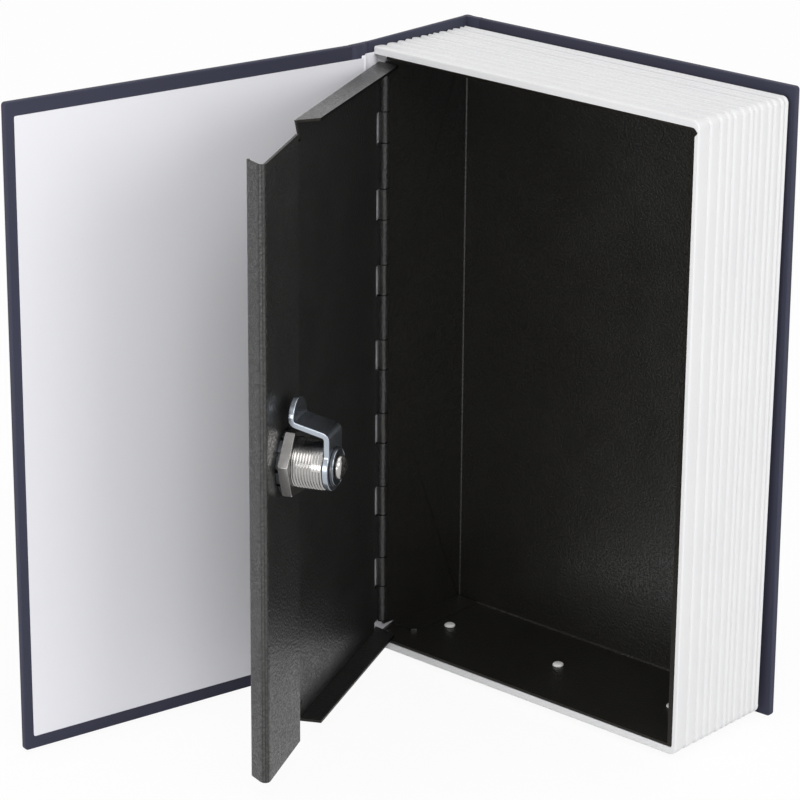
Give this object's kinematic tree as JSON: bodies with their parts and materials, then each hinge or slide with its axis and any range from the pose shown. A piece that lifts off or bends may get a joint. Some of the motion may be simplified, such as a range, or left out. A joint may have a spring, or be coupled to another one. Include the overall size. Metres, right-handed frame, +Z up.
{
  "type": "book diversion safe",
  "caption": "Hollow hardback book that hides a folded steel cash box with a piano-hinged, cam-locked steel door behind its front cover.",
  "frame": {"origin": "middle of the lower edge of the back board, which the book stands on", "axes": "+X from the spine to the fore-edge, +Y from the front of the book to its back, +Z up the spine"},
  "size_m": [0.1816, 0.2053, 0.24],
  "materials": {
    "cloth": "matte woven",
    "board": "matte",
    "paper": "matte paper",
    "pages": "satin",
    "black_steel": "semi-gloss black enamel",
    "rivet": "satin",
    "pin": "satin",
    "nickel": "bright plating",
    "zinc": "bright zinc",
    "brass": "satin"
  },
  "bodies": {
    "case": {"back_cloth": "cloth", "back_board": "board", "back_lining": "paper", "spine_cloth": "cloth", "spine_board": "board", "spine_lining": "paper", "page_block": "pages", "steel_box": "black_steel", "hinge_pin": "pin", "floor_rivet_1": "rivet", "floor_rivet_2": "rivet", "floor_rivet_3": "rivet", "ceiling_rivet_1": "rivet", "ceiling_rivet_2": "rivet", "ceiling_rivet_3": "rivet"},
    "door": {"door_panel": "black_steel", "lock_housing": "nickel", "lock_nut": "nickel"},
    "lock_cam": {"lock_plug": "nickel", "wafer_1": "brass", "wafer_2": "brass", "wafer_3": "brass", "wafer_4": "brass", "wafer_5": "brass", "cam": "zinc", "cam_washer": "zinc", "cam_screw": "nickel"},
    "front_cover": {"front_cloth": "cloth", "front_board": "board", "front_lining": "paper"}
  },
  "joints": [
    {"name": "door_swing", "type": "hinge", "parent": "case", "child": "door", "pos_m": [-0.07452, -0.04965, 0], "axis": [0, 0, -1], "range_deg": [-67.05, 27.9]},
    {"name": "cover_swing", "type": "hinge", "parent": "case", "child": "front_cover", "pos_m": [-0.07838, -0.05655, 0], "axis": [0, 0, -1], "range_deg": [-102.03, 42.5]},
    {"name": "lock_turn", "type": "hinge", "parent": "door", "child": "lock_cam", "pos_m": [-0.0284, -0.15859, 0.1216], "axis": [0.9208, 0.3899, 0], "range_deg": [0, 90]}
  ],
  "couplings": [
    {"joint": "cover_swing", "follows": "door_swing", "ratio": 1.5217}
  ]
}
